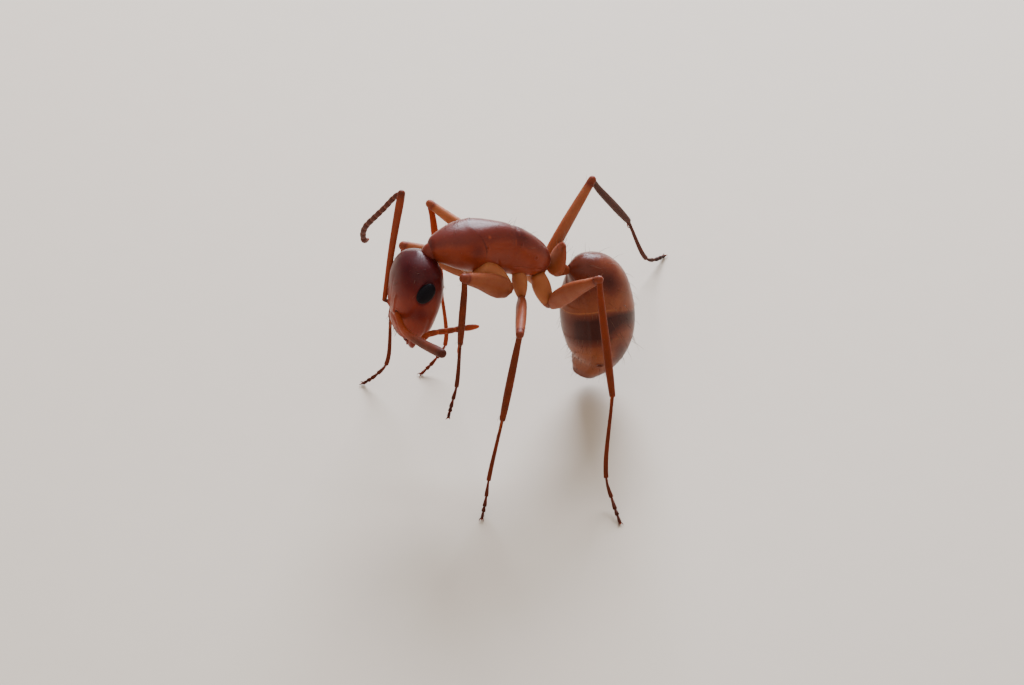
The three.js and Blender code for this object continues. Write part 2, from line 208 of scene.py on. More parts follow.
class Tube:
    """A surface round a curve: a point is named by its share of the length and its turn from the
    dorsal side towards the lateral direction. lift moves it outwards."""

    STEPS = 300
    THINNEST = 0.004

    def __init__(self, points, widths, heights, lateral=None, power=2.0, relief=None, inset=0.0):
        points = np.asarray(points, float)
        if len(points) > 2:
            dense = spline(points, np.linspace(0, 1, self.STEPS))
        else:
            dense = np.linspace(*points, self.STEPS)
        steps = np.r_[0, np.cumsum(np.linalg.norm(np.diff(dense, axis=0), axis=1))]
        self.length = steps[-1]
        self.shares, self.dense = steps / steps[-1], dense
        self.along = unit(np.gradient(dense, steps, axis=0))
        if lateral is None:
            start = np.cross(self.along[0], UP if abs(self.along[0][2]) < 0.9 else -RIGHT)
            sides = [unit(start)]
            for direction in self.along[1:]:
                carried = sides[-1] - direction * sides[-1].dot(direction)
                sides.append(unit(carried))
            self.side = np.array(sides)
        else:
            lateral = np.asarray(lateral, float)
            self.side = unit(lateral - self.along * (self.along @ lateral)[:, None])
        self.up = np.cross(self.along, self.side)
        self.width, self.height = widths, heights
        self.power, self.relief, self.inset = power, relief, inset

    def _at(self, table, share):
        return np.stack([np.interp(share, self.shares, table[:, k]) for k in range(3)], -1)

    def centre(self, share):
        return self._at(self.dense, share)

    def flat(self, share, turn, lift=0.0):
        """The surface without its relief."""
        s, c = np.sin(turn), np.cos(turn)
        swell = (np.abs(s) ** self.power + np.abs(c) ** self.power) ** (-1 / self.power)
        shape = np.shape(share)
        wide = np.maximum(self.width(np.ravel(share)).reshape(shape) + lift, self.THINNEST)
        high = np.maximum(self.height(np.ravel(share)).reshape(shape) + lift, self.THINNEST)
        aside = self._at(self.side, share) * (s * swell * wide)[..., None]
        above = self._at(self.up, share) * (c * swell * high)[..., None]
        return self.centre(share) + aside + above

    def point(self, share, turn, lift=0.0):
        share, turn = np.broadcast_arrays(np.asarray(share, float), np.asarray(turn, float))
        if self.relief is not None:
            lift = lift + self.relief(share, turn)
        return self.flat(share, turn, lift)

    def normal(self, share, turn):
        share, turn = np.broadcast_arrays(np.asarray(share, float), np.asarray(turn, float))
        e = 1e-3
        ds = self.flat(np.clip(share + e, 0, 1), turn) - self.flat(np.clip(share - e, 0, 1), turn)
        dt = self.flat(share, turn + e) - self.flat(share, turn - e)
        normal = unit(np.cross(dt, ds))
        outward = self.flat(share, turn) - self.centre(share)
        return normal * np.sign(np.sum(normal * outward, -1, keepdims=True))

    def tangent(self, share):
        return unit(self._at(self.along, share))

    def route(self, step):
        """Every step-th point of the line, with its last."""
        return [*self.dense[::step], self.dense[-1]]


def rod(points, radii):
    """A tube as wide as it is high."""
    shape = profile(radii)
    return Tube(points, shape, shape)


# ---- meshes ----
def mesh_object(name, parts, slot, *nodes):
    """A piece, in place of the frame's nodes, from (points, faces, tone) solids in body millimetres;
    tone is one number, or one per point, that the materials read."""
    points, faces, tones, offset = [], [], [], 0
    for pts, fcs, tone in parts:
        points.append(pts)
        tones.append(np.broadcast_to(tone, len(pts)))
        faces += [tuple(k + offset for k in f) for f in fcs]
        offset += len(pts)
    mesh = bpy.data.meshes.new(name)
    metres = (np.vstack(points) - ORIGIN) * MM
    mesh.from_pydata(metres.tolist(), [], faces)
    mesh.update()
    mesh.polygons.foreach_set("use_smooth", [True] * len(mesh.polygons))
    attribute = mesh.attributes.new("tone", "FLOAT", "POINT")
    attribute.data.foreach_set("value", np.concatenate(tones).astype(np.float32))
    mesh.materials.append(MATERIALS[slot])
    piece = bpy.data.objects.new(name, mesh)
    bpy.context.collection.objects.link(piece)
    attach(piece, "root")
    if nodes:
        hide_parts(*nodes)
    return piece


def closed_tube(rings):
    """Points and faces of a closed tube from an array of rings: quads between them, and a fan round
    a hub point over each end."""
    count, around = rings.shape[:2]
    points = np.vstack([rings.reshape(-1, 3), rings[0].mean(0), rings[-1].mean(0)])
    end, hub = (count - 1) * around, count * around
    faces = []
    for a in range(0, end, around):
        b = a + around
        faces += [(a + j, a + (j + 1) % around, b + (j + 1) % around, b + j) for j in range(around)]
    faces += [(hub, (j + 1) % around, j) for j in range(around)]
    faces += [(hub + 1, end + j, end + (j + 1) % around) for j in range(around)]
    sample = points[np.array([f[:3] for f in faces])]
    volume = np.einsum("ij,ij->i", sample[:, 0], np.cross(sample[:, 1], sample[:, 2])).sum()
    if volume < 0:
        faces = [tuple(reversed(f)) for f in faces]
    return points, faces


EDGE_ROLL = 0.3  # of the tuck: where a plate's edge turns inwards
LIP_REACH = 0.09  # how far a raised lip spreads back over its plate


def plate(tube, start, finish, rings, around, lip, tuck, tone):
    """A shell plate between two shares, which may change with the turn, with rolled-in edges."""
    turns = np.linspace(-pi, pi, around, endpoint=False)
    low = start(turns) if callable(start) else np.full(around, float(start))
    high = finish(turns) if callable(finish) else np.full(around, float(finish))
    t = 0.5 - 0.5 * np.cos(np.linspace(0, pi, rings))
    share = low + (high - low) * t[:, None]
    edge = lip * bump(t, 1, LIP_REACH)[:, None]
    turn = np.broadcast_to(turns, share.shape)
    rows = [tube.point(share[0], turns, -tube.inset - deep) for deep in (tuck, tuck * EDGE_ROLL)]
    rows += [*tube.point(share, turn, edge - tube.inset)]
    rows += [tube.point(share[-1], turns, lip - tube.inset - deep) for deep in (tuck * EDGE_ROLL, tuck)]
    points, faces = closed_tube(np.array(rows))
    shares = np.vstack([share[:1], share[:1], share, share[-1:], share[-1:]]).ravel()
    angles = np.tile(turns, len(rows))
    return points, faces, tone(np.r_[shares, shares[0], shares[-1]], np.r_[angles, 0, 0])


CAP_ANGLES = (0.45, 0.9, 1.3)  # of the rings that round off a limb's end, in radians


def limb(tube, rings, around, start=0.0, finish=1.0, round_ends=0.5):
    """A closed limb segment with rounded ends, as points and faces."""
    share = start + (finish - start) * np.linspace(0, 1, rings)
    turns = np.linspace(-pi, pi, around, endpoint=False)
    body = tube.point(share[:, None], turns[None, :])
    caps = []
    for k, sign in ((0, -1), (-1, 1)):
        middle = tube.centre(share[k])
        ring = body[k] - middle
        size = np.linalg.norm(ring, axis=1).mean() * round_ends
        direction = tube.tangent(share[k]) * sign
        caps.append([middle + ring * cos(a) + direction * size * sin(a) for a in CAP_ANGLES])
    return closed_tube(np.array([*reversed(caps[0]), *body, *caps[1]]))


# ---- materials: texture scales per metre, relief in metres ----
CLOUD_SCALE, FRECKLE_SCALE, DENT_DEPTH = 2600, 16000, 0.00001
NET_SCALE, NET_DEPTH = 40000, 0.0000015
FACET_SCALE, FACET_DEPTH = 42000, 0.000006
GRAIN_SCALE, GRAIN_DEPTH = 900, 0.00002


def node_material(name):
    material = bpy.data.materials.new(name)
    material.use_nodes = True
    tree = material.node_tree
    tree.nodes.clear()
    output = tree.nodes.new("ShaderNodeOutputMaterial")
    shader = tree.nodes.new("ShaderNodeBsdfPrincipled")
    tree.links.new(shader.outputs["BSDF"], output.inputs["Surface"])
    return material, tree, shader


def tone_level(tree):
    tone = tree.nodes.new("ShaderNodeAttribute")
    tone.attribute_name = "tone"
    return tone.outputs["Fac"]


def noise(tree, place, scale, detail):
    texture = tree.nodes.new("ShaderNodeTexNoise")
    texture.inputs["Scale"].default_value = scale
    texture.inputs["Detail"].default_value = detail
    tree.links.new(place.outputs["Object"], texture.inputs["Vector"])
    return texture.outputs["Fac"]


def cells(tree, place, scale, feature):
    texture = tree.nodes.new("ShaderNodeTexVoronoi")
    texture.inputs["Scale"].default_value = scale
    texture.feature = feature
    tree.links.new(place.outputs["Object"], texture.inputs["Vector"])
    return texture.outputs["Distance"]


def times_plus(tree, value, factor, more):
    node = tree.nodes.new("ShaderNodeMath")
    node.operation = "MULTIPLY_ADD"
    tree.links.new(value, node.inputs[0])
    node.inputs[1].default_value = factor
    tree.links.new(more, node.inputs[2])
    return node.outputs[0]


def colour_run(tree, level, *colours):
    """Runs evenly through two or three colours as level goes from 0 to 1."""
    node = tree.nodes.new("ShaderNodeValToRGB")
    stops = node.color_ramp.elements
    if len(colours) == 3:
        stops.new(0.5)
    for stop, colour in zip(stops, colours):
        stop.color = (*colour, 1)
    tree.links.new(level, node.inputs["Fac"])
    return node.outputs["Color"]


def relief_node(tree, height, strength, depth, under=None):
    node = tree.nodes.new("ShaderNodeBump")
    node.inputs["Strength"].default_value = strength
    node.inputs["Distance"].default_value = depth
    tree.links.new(height, node.inputs["Height"])
    if under is not None:
        tree.links.new(under.outputs["Normal"], node.inputs["Normal"])
    return node


def chitin(name, pale, dark, roughness, gleam, mottle, glow=0.2):
    """Cuticle: colour runs from pale to dark with the tone attribute, clouded and freckled; the
    surface carries a fine net and faint dents."""
    material, tree, shader = node_material(name)
    new, link = tree.nodes.new, tree.links.new
    place = new("ShaderNodeTexCoord")
    clouds = noise(tree, place, CLOUD_SCALE, 5)
    freckles = noise(tree, place, FRECKLE_SCALE, 3)
    cloudy = times_plus(tree, clouds, mottle, tone_level(tree))
    freckled = times_plus(tree, freckles, mottle * 0.6, cloudy)
    level = new("ShaderNodeMath")
    level.operation = "SUBTRACT"
    link(freckled, level.inputs[0])
    level.inputs[1].default_value = mottle * 0.8  # about what both noises add on average
    middle = [(p * d) ** 0.5 * 1.08 for p, d in zip(pale, dark)]
    link(colour_run(tree, level.outputs[0], pale, middle, dark), shader.inputs["Base Color"])
    net = relief_node(tree, cells(tree, place, NET_SCALE, "DISTANCE_TO_EDGE"), 0.5, NET_DEPTH)
    dents = relief_node(tree, freckles, 0.35, DENT_DEPTH, net)
    link(dents.outputs["Normal"], shader.inputs["Normal"])
    gloss = new("ShaderNodeMapRange")
    gloss.inputs["To Min"].default_value = roughness * 0.8
    gloss.inputs["To Max"].default_value = roughness * 1.25
    link(clouds, gloss.inputs["Value"])
    link(gloss.outputs["Result"], shader.inputs["Roughness"])
    shader.inputs["Subsurface Weight"].default_value = glow
    shader.inputs["Subsurface Radius"].default_value = (1.0, 0.35, 0.12)
    shader.inputs["Subsurface Scale"].default_value = 0.00035
    shader.inputs["Specular IOR Level"].default_value = gleam
    return material


def facet_eye():
    """The compound eye: near black, its facets a fine net of domes."""
    material, tree, shader = node_material("compound_eye")
    place = tree.nodes.new("ShaderNodeTexCoord")
    facets = cells(tree, place, FACET_SCALE, "F1")
    colour = colour_run(tree, facets, (0.010, 0.007, 0.011), (0.002, 0.002, 0.003))
    tree.links.new(colour, shader.inputs["Base Color"])
    domes = relief_node(tree, facets, 0.6, FACET_DEPTH)
    domes.invert = True
    tree.links.new(domes.outputs["Normal"], shader.inputs["Normal"])
    shader.inputs["Roughness"].default_value = 0.5
    shader.inputs["Specular IOR Level"].default_value = 0.1
    return material


def golden_hair():
    """Bristle: darker at the root than at the tip, by the tone attribute."""
    material, tree, shader = node_material("golden_hair")
    colour = colour_run(tree, tone_level(tree), (0.08, 0.025, 0.010), (0.24, 0.12, 0.05))
    tree.links.new(colour, shader.inputs["Base Color"])
    shader.inputs["Roughness"].default_value = 0.4
    return material


def pale_floor():
    material, tree, shader = node_material("pale_floor")
    place = tree.nodes.new("ShaderNodeTexCoord")
    grain = noise(tree, place, GRAIN_SCALE, 6)
    colour = (0.68, 0.57, 0.45)
    tint = colour_run(tree, grain, [c * 0.96 for c in colour], colour)
    tree.links.new(tint, shader.inputs["Base Color"])
    rough = relief_node(tree, grain, 0.2, GRAIN_DEPTH)
    tree.links.new(rough.outputs["Normal"], shader.inputs["Normal"])
    shader.inputs["Roughness"].default_value = 0.6
    return material


MATERIALS = {  # by slot; each cuticle: name, pale, dark, roughness, gleam, mottle, glow
    "head_shell": chitin("head_chitin", (0.33, 0.050, 0.018), (0.055, 0.005, 0.007), 0.3, 0.15, 0.25),
    "trunk_shell": chitin("trunk_chitin", (0.35, 0.058, 0.019), (0.06, 0.008, 0.008), 0.32, 0.18, 0.3),
    "gaster_shell": chitin("gaster_chitin", (0.37, 0.105, 0.036), (0.048, 0.007, 0.005), 0.3, 0.18, 0.26),
    "leg_shell": chitin("leg_chitin", (0.43, 0.146, 0.052), (0.12, 0.017, 0.008), 0.5, 0.16, 0.22, 0.3),
    "shin_shell": chitin("shin_chitin", (0.40, 0.056, 0.012), (0.03, 0.007, 0.004), 0.5, 0.1, 0.22),
    "antenna_shell": chitin("antenna_chitin", (0.40, 0.062, 0.014), (0.03, 0.007, 0.005), 0.5, 0.16, 0.22),
    "eye": facet_eye(),
    "bristle": golden_hair(),
}
MATERIALS["mandible"] = MATERIALS["head_shell"]
MATERIALS["foot_shell"] = MATERIALS["shin_shell"]


# ---- hairs ----
HAIR_ROWS = ((0.0, 1.0), (0.45, 0.75), (0.8, 0.42))  # share of the length, share of the radius
HAIR_POINTS = 3 * len(HAIR_ROWS) + 1  # three to a row, and the tip
HAIR_PATCH = 0.0015  # half a hair's patch on the unwrap
CELL_RIM = 0.02  # of the unwrap's cell, left free on each side


def hair_pattern():
    """Faces of one bristle: its base, its three sides between the rows, and its tip."""
    pattern = [(2, 1, 0)]
    for a, b in ((0, 3), (3, 6)):
        pattern += [(a + k, a + (k + 1) % 3, b + (k + 1) % 3, b + k) for k in range(3)]
    return pattern + [(6 + k, 6 + (k + 1) % 3, 9) for k in range(3)]


def hairs(name, roots, normals, leans, lengths, radii, curls, share, turn, cell, columns):
    """Bristles as joined three-sided tapering blades. share, turn and cell are each root's place on
    the unwrap of its own shell; each bristle's UVs are a small patch there."""
    count = len(roots)
    directions = unit(leans)
    side = unit(np.cross(directions, normals + 1e-3))
    lift = np.cross(side, directions)
    lift *= np.sign(np.sum(lift * normals, -1, keepdims=True))
    corners = [2 * pi * k / 3 for k in range(3)]
    points, tones = [], []
    for t, w in HAIR_ROWS:
        spot = roots + directions * (lengths * t)[:, None] - lift * (curls * lengths * t * t)[:, None]
        points += [spot + (side * cos(a) + lift * sin(a)) * (radii * w)[:, None] for a in corners]
        tones += [np.full(count, t)] * 3
    points.append(roots + directions * lengths[:, None] - lift * (curls * lengths)[:, None])
    tones.append(np.ones(count))
    stack = np.stack(points, 1).reshape(-1, 3)
    tone = np.stack(tones, 1).ravel()
    pattern = hair_pattern()
    faces = [tuple(HAIR_POINTS * i + k for k in f) for i in range(count) for f in pattern]
    piece = mesh_object(name, [(stack, faces, tone)], "bristle")
    used = 1 - 2 * CELL_RIM
    u = (cell % columns + CELL_RIM + used * share) / columns
    v = (cell // columns + CELL_RIM + used * ((turn / (2 * pi)) % 1.0)) / columns
    patch = np.array([(cos(a), sin(a)) for a in corners] * len(HAIR_ROWS) + [(0, 0)]) * HAIR_PATCH
    uv = (np.stack([u, v], -1)[:, None, :] + patch[None]).reshape(-1, 2)
    layer = piece.data.uv_layers.new(name="OFBake")
    loops = np.empty(len(piece.data.loops), dtype=np.int64)
    piece.data.loops.foreach_get("vertex_index", loops)
    layer.data.foreach_set("uv", uv[loops].ravel())


class Coat:
    """Collects bristles from several shells, each in its own cell of the unwrap, into one piece."""

    ROOT_DEPTH = 0.004  # how far a root is sunk in its shell, mm
    LEAST_RISE = 0.12  # of a bristle's direction away from its shell

    def __init__(self, name):
        self.name, self.rows, self.cell = name, [], 0

    def grow(self, tube, count, shares, turns, length, radius, lie, curl, spread, lift=0.0, keep=None):
        """count bristles at random places; lie is 0 for upright and 1 for flat towards the tip."""
        share = rng.uniform(*shares, count)
        turn = rng.uniform(*turns, count)
        if keep is not None:
            chosen = keep(share, turn)
            share, turn = share[chosen], turn[chosen]
        self.place(tube, share, turn, length, radius, lie, curl, spread, lift)

    def place(self, tube, share, turn, length, radius, lie, curl, spread, lift=0.0):
        count = len(share)
        normal = tube.normal(share, turn)
        jitter = rng.normal(0, spread, (count, 3))
        lean = normal * (1 - lie) + tube.tangent(share) * lie + jitter * 0.5
        rise = np.sum(lean * normal, -1, keepdims=True)
        lean += normal * np.maximum(self.LEAST_RISE - rise, 0)
        root = tube.point(share, turn, lift - tube.inset - self.ROOT_DEPTH)
        size = rng.uniform(*length, count)
        radii, curls, cell = (np.full(count, float(value)) for value in (radius, curl, self.cell))
        self.rows.append((root, normal, lean, size, radii, curls, share, turn, cell))
        self.cell += 1

    def finish(self):
        columns = int(np.ceil(np.sqrt(self.cell)))
        hairs(self.name, *(np.concatenate(column) for column in zip(*self.rows)), columns)


# ---- marks on the flanks ----
TURN_AS_SHARE = 0.16  # what a radian of turn counts for beside shares of the length


def apart(share, turn, place, aside):
    """Distance from a spot on either flank; place is a share, aside is in degrees."""
    return np.hypot(share - place, (np.abs(turn) - radians(aside)) * TURN_AS_SHARE)


def near(share, turn, place, aside, size):
    """A soft round mark on both flanks: 1 at its middle."""
    return bump(apart(share, turn, place, aside), 0, size)


# ---- trunk ----
def pronotal_suture(turn):
    """Share of the mesosoma where the first plate's edge runs: arched back on the flanks."""
    return 0.28 + 0.1 * np.abs(np.sin(turn)) ** 1.5 + 0.03 * np.minimum(np.cos(turn), 0)


def metanotal_suture(turn):
    return np.where(np.cos(turn) > 0, 0.60 + 0.05 * np.abs(np.sin(turn)), 0.65)


def trunk_relief(share, turn):
    """Grooves between the plates of the flanks, the spiracles' pits and the gland's swelling."""
    angle = np.abs(turn)
    upper = radians(58) + 0.25 * (share - 0.45)
    lift = -0.008 * bump(angle, upper, 0.05) * span(share, 0.33, 0.37, 0.6, 0.64)
    middle = 0.5 + 0.10 * (angle - 1.6)
    lift -= 0.018 * bump(share, middle, 0.012) * span(angle, 1.5, 1.7, 2.4, 2.6)
    lower = radians(100) - 0.9 * (share - 0.8)
    lift -= 0.02 * bump(angle, lower, 0.05) * span(share, 0.66, 0.70, 0.93, 0.97)
    lift += 0.035 * bump(angle, radians(118), 0.28) * bump(share, 0.86, 0.05)
    for place, aside, size in SPIRACLES:
        away = np.hypot((share - place) * 4.0, (angle - radians(aside)) * 0.65)
        lift += 0.022 * bump(away, size * 2.2, size * 0.9) - 0.05 * bump(away, 0, size * 1.2)
    lift -= 0.03 * bump(share, 0.6, 0.03) * np.maximum(np.cos(turn), 0)
    waves = np.sin(share * 21 + 1) * np.sin(angle * 2.3)
    return lift + 0.008 * waves * span(share, 0.05, 0.2, 0.85, 0.97)


MESOSOMA = Tube(quadratic(MESOSOMA_LINE), domed(MESOSOMA_WIDTHS, 0.05, 0.03),
                domed(MESOSOMA_HEIGHTS, 0.05, 0.03), RIGHT, 2.25, trunk_relief, COAT_DEPTH)


def trunk_tone(share, turn):
    """Dark on the back, redder on the flanks, with brown clouds and a dark suture; a pale streak on each
    upper flank by the metanotal suture and a small pale spot further forward are painted highlights.
    """
    upward = np.cos(turn)
    tone = 0.26 + 0.36 * ramp(upward, 0.45, 1.0) - 0.10 * ramp(-upward, 0.1, 0.8)
    tone += 0.26 * near(share, turn, 0.31, 64, 0.05) + 0.30 * near(share, turn, 0.63, 25, 0.07)
    tone += 0.22 * ramp(share, 0.88, 0.99) + 0.2 * (1 - ramp(share, 0.0, 0.05))
    tone += 0.35 * bump(share, pronotal_suture(turn), 0.006) * ramp(upward, -0.2, 0.5)
    # the pale streak by the metanotal suture on each upper flank is a painted highlight, not a pale suture
    pale = bump(share, metanotal_suture(turn) - 0.04, 0.006) * bump(np.abs(turn), 0.78, 0.14)
    # the small pale spot on each flank at share 0.388 is a painted glint
    return tone - 0.30 * pale - 0.6 * near(share, turn, 0.388, 38.7, 0.008)


def make_mesosoma():
    plates = (  # name, start, finish, rings, lip
        ("pronotum", 0.0, pronotal_suture, 70, 0.014),
        ("mesonotum", lambda t: pronotal_suture(t) - 0.012, metanotal_suture, 60, 0.008),
        ("propodeum", lambda t: metanotal_suture(t) - 0.008, 0.995, 80, 0.0),
    )
    for name, start, finish, rings, lip in plates:
        solid = plate(MESOSOMA, start, finish, rings, 128, lip, 0.05, trunk_tone)
        mesh_object(f"{name}_shell", [solid], "trunk_shell", name)


# ---- petiole ----
LEAF = Tube((SCALE_FOOT, np.array(SCALE_CREST) - COAT_DEPTH * UP),
            stretched(profile((0.72, 0.95, 1.0, 0.92, 0.7, 0.3)), 0.4),
            stretched(profile((1.3, 1.25, 1.0, 0.75, 0.5, 0.22)), 0.19), RIGHT, 2.3)
STALK = Tube(STALK_LINE, profile((0.17, 0.24, 0.2, 0.13)), profile((0.17, 0.26, 0.2, 0.13)), RIGHT)


def make_petiole():
    points, faces = limb(LEAF, 48, 64, 0.02, 0.98)
    height = (points[:, 2] - points[:, 2].min()) / np.ptp(points[:, 2])
    tone = 0.3 + 0.2 * height + 0.4 * ramp(points[:, 0], 2.36, 2.6)
    parts = [(points, faces, tone), (*limb(STALK, 30, 40, 0.02, 0.98), 0.6)]
    mesh_object("petiole_shell", parts, "leg_shell", "petiole")


# ---- gaster ----
def gaster_relief(share, turn):
    """The plates of the back overlap those of the belly along each flank, which has a rimmed pit."""
    flank = radians(122)
    pit = apart(share, turn, *GASTER_PIT)
    rim = 0.02 * bump(pit, 0.017, 0.006) - 0.05 * bump(pit, 0, 0.012)
    return 0.02 * (1 - ramp(np.abs(turn), flank - 0.03, flank + 0.03)) - 0.012 + rim


GASTER = Tube(GASTER_LINE, domed(GASTER_WIDTHS, 0.0, 0.03), domed(GASTER_HEIGHTS, 0.0, 0.02),
              RIGHT, 2.0, gaster_relief, COAT_DEPTH)


def arch(turn):
    """How much before its nominal share a plate's edge runs: most on the flanks, least on the back."""
    return 0.125 * np.abs(np.sin(turn)) ** 1.5 - 0.06 * np.cos(turn)


def gaster_tone(share, turn):
    """Amber with soft dark clouds inside the plates, and a paler band of painted sheen up to the first
    plate's edge; orange towards the tip, brown at its end.
    """
    level = share + arch(turn)
    upward = np.cos(turn)
    back, belly = ramp(upward, -0.4, 0.5), ramp(-upward, 0.72, 0.98)
    # the paler band at levels 0.26 to 0.45, up to the first plate's edge, is painted sheen
    tone = 0.42 + 0.16 * (1 - ramp(share, 0.0, 0.22)) - 0.12 * span(level, 0.26, 0.38, 0.42, 0.45)
    low = 0.71 - 0.13 * back
    cloud = span(level, 0.425, 0.52 - 0.05 * back, low - 0.10, low + 0.03)
    tone += 0.68 * cloud * (1 - 0.75 * belly)
    tone += 0.42 * span(level, 0.68, 0.76, 0.82, 0.9) * ramp(upward, 0.0, 0.45)
    tone -= 0.16 * ramp(level, 0.70, 0.80) * (1 - ramp(upward, 0.0, 0.4))
    tone += 0.3 * ramp(share, 0.9, 1.0) - 0.36 * bump(level, GASTER_CUTS[1], 0.004) * (1 - back)
    for cut in GASTER_CUTS[2:-1]:
        tone -= 0.06 * bump(level, cut, 0.005)
    tone += 0.5 * near(share, turn, 0.17, 57, 0.05)
    return tone + 0.5 * near(share, turn, *GASTER_PIT, 0.022)


def make_gaster():
    plates = ((90, 0.012), (56, 0.007), (44, 0.005), (36, 0.002), (36, 0.0))  # rings, lip
    for i, (rings, lip) in enumerate(plates):
        name = f"gaster_{i + 1}"
        last = i == len(plates) - 1
        start = (lambda t, at=GASTER_CUTS[i]: at - 0.02 - arch(t)) if i else 0.0
        finish = 1.0 if last else (lambda t, at=GASTER_CUTS[i + 1]: at + 0.004 - arch(t))
        solid = plate(GASTER, start, finish, rings, 144, lip, 0.03, gaster_tone)
        mesh_object(f"{name}_shell", [solid], "gaster_shell", name)


# ---- head ----
HEAD_ALONG = unit(np.array(HEAD_MOUTH) - np.array(HEAD_VERTEX))
FACE = unit(np.array((-1.0, 0, 0)) - HEAD_ALONG * np.dot((-1.0, 0, 0), HEAD_ALONG))
HEAD_LEFT = np.cross(FACE, HEAD_ALONG)


def eye_reach(share, turn):
    """Distance from the eye's middle over the head, 1 at the eye's rim."""
    down, back = (share - EYE_SHARE) * 2.85, np.abs(turn) - EYE_TURN
    long = down * cos(EYE_TILT) - back * sin(EYE_TILT)
    wide = down * sin(EYE_TILT) + back * cos(EYE_TILT)
    return np.hypot(long / EYE_SIZE[2], wide / EYE_SIZE[0])


def head_relief(share, turn):
    """Clypeus and its suture, frontal carinae, antennal sockets, cheeks and the rims of the eyes."""
    angle = np.abs(turn)
    seam = 0.735 + 0.10 * ramp(angle, 0.15, 0.75)
    lift = -0.022 * bump(share, seam, 0.010) * (1 - ramp(angle, 0.85, 1.05))
    lift += 0.03 * span(share, seam, seam + 0.05, 0.93, 1.0) * (1 - ramp(angle, 0.5, 0.9))
    lift += 0.015 * bump(angle, 0.0, 0.05) * span(share, 0.76, 0.82, 0.9, 0.97)
    ridge = 0.24 + 0.35 * (0.66 - share)
    lift += 0.035 * bump(angle, ridge, 0.035) * span(share, 0.42, 0.5, 0.66, 0.71)
    lift -= 0.01 * bump(angle, 0, 0.03) * span(share, 0.25, 0.4, 0.62, 0.7)
    socket = np.hypot((share - SOCKET_SHARE) * 2.75, (angle - SOCKET_TURN) * 0.75)
    lift += 0.028 * bump(socket, 0.115, 0.03) - 0.06 * bump(socket, 0, 0.08)
    eye = eye_reach(share, turn)
    lift += 0.006 * bump(eye, 1.25, 0.12) - 0.025 * bump(eye, 1.0, 0.10)
    return lift - 0.02 * bump(angle, 1.9, 0.1) * ramp(share, 0.45, 0.7)


HEAD = Tube((HEAD_VERTEX, HEAD_MOUTH), domed(HEAD_WIDTHS, 0.1, 0.03), domed(HEAD_HEIGHTS, 0.1, 0.03),
            HEAD_LEFT, 2.25, head_relief, COAT_DEPTH)


def head_tone(share, turn):
    """Dark maroon over the vertex, redder towards the mouth, darker again on the cheeks, round the
    eyes and at the mouth's edge."""
    tone = 0.95 - 0.68 * ramp(share, 0.10, 0.58)
    tone -= 0.14 * ramp(np.cos(turn), 0.2, 0.9) * ramp(share, 0.35, 0.8)
    tone += 0.30 * near(share, turn, 0.6, 74, 0.09) + 0.3 * ramp(share, 0.92, 1.0)
    return tone + 0.25 * bump(eye_reach(share, turn), 1.05, 0.2)


def eye_frame(sign):
    """The eye's centre and its axes: across, outwards and along its length."""
    place = np.array([EYE_SHARE]), np.array([sign * EYE_TURN])
    centre, outward = HEAD.flat(*place)[0], HEAD.normal(*place)[0]
    down = unit(HEAD_ALONG - outward * HEAD_ALONG.dot(outward))
    back = np.cross(outward, down)
    back *= -np.sign(back @ FACE)
    along = down * cos(EYE_TILT) - back * sin(EYE_TILT)
    return centre - outward * EYE_SINK, np.cross(outward, along), outward, along


def make_eye(side, sign):
    centre, across, outward, along = eye_frame(sign)
    pole = pi / 2 - 0.06  # the last rings' latitude
    lat = np.linspace(-pole, pole, 48)[:, None]
    lon = np.linspace(0, 2 * pi, 64, endpoint=False)[None, :]
    x = np.cos(lat) * np.cos(lon) * (EYE_SIZE[0] - COAT_DEPTH)
    z = np.cos(lat) * np.sin(lon) * (EYE_SIZE[2] - COAT_DEPTH)
    y = np.sin(lat) * (EYE_SIZE[1] - COAT_DEPTH / 2) * np.ones_like(lon)
    rings = centre + x[..., None] * across + y[..., None] * outward + z[..., None] * along
    mesh_object(f"eye_{side}_lens", [(*closed_tube(rings), 0.0)], "eye", f"eye_{side}")


def stations(origin, axes, steps):
    """Points reached from an origin by steps along the axes."""
    return [origin + np.array(step) @ axes for step in steps]


# aside, down and forward of the mouth
MANDIBLE_LINE = ((0.42, -0.22, 0.02), (0.40, 0.08, 0.05), (0.27, 0.2, 0.03), (-0.02, 0.27, 0.0))
BLADE_CROSSING = 0.03  # how far one blade's tip passes in front of the middle, and the other's behind


def make_mandible(side, sign):
    """A curved blade from the cheek to past the mid-line, its inner edge cut into teeth."""
    line = stations(HEAD.centre(1.0), (HEAD_LEFT * sign, HEAD_ALONG, FACE), MANDIBLE_LINE)
    line[-1] -= FACE * BLADE_CROSSING * sign
    teeth = 8.5  # over the whole length, though only the outer part is cut

    def relief(share, turn):
        inner = np.cos(turn + sign * pi / 2) > 0.2
        wave = np.abs(((share * teeth) % 1.0) - 0.5) * 2
        scratches = 0.004 * np.sin(turn * 24) * ramp(share, 0.2, 0.4)
        return 0.05 * inner * wave * ramp(share, 0.35, 0.5) + scratches

    tube = Tube(line, profile((0.15, 0.17, 0.15, 0.11, 0.03)),
                profile((0.15, 0.12, 0.1, 0.08, 0.03)), HEAD_LEFT, relief=relief)
    points, faces = limb(tube, 60, 48)
    tone = 0.35 + 0.6 * ramp(progress(points, line[-1], line[0]), 0.55, 0.0)
    mesh_object(f"mandible_{side}_blade", [(points, faces, tone)], "mandible", f"mandible_{side}")


def palp_radius(share):
    """Tapering, with a narrow waist between its four joints."""
    return 0.03 - 0.012 * share - 0.008 * (np.abs((share * 4) % 1 - 0.5) > 0.42)


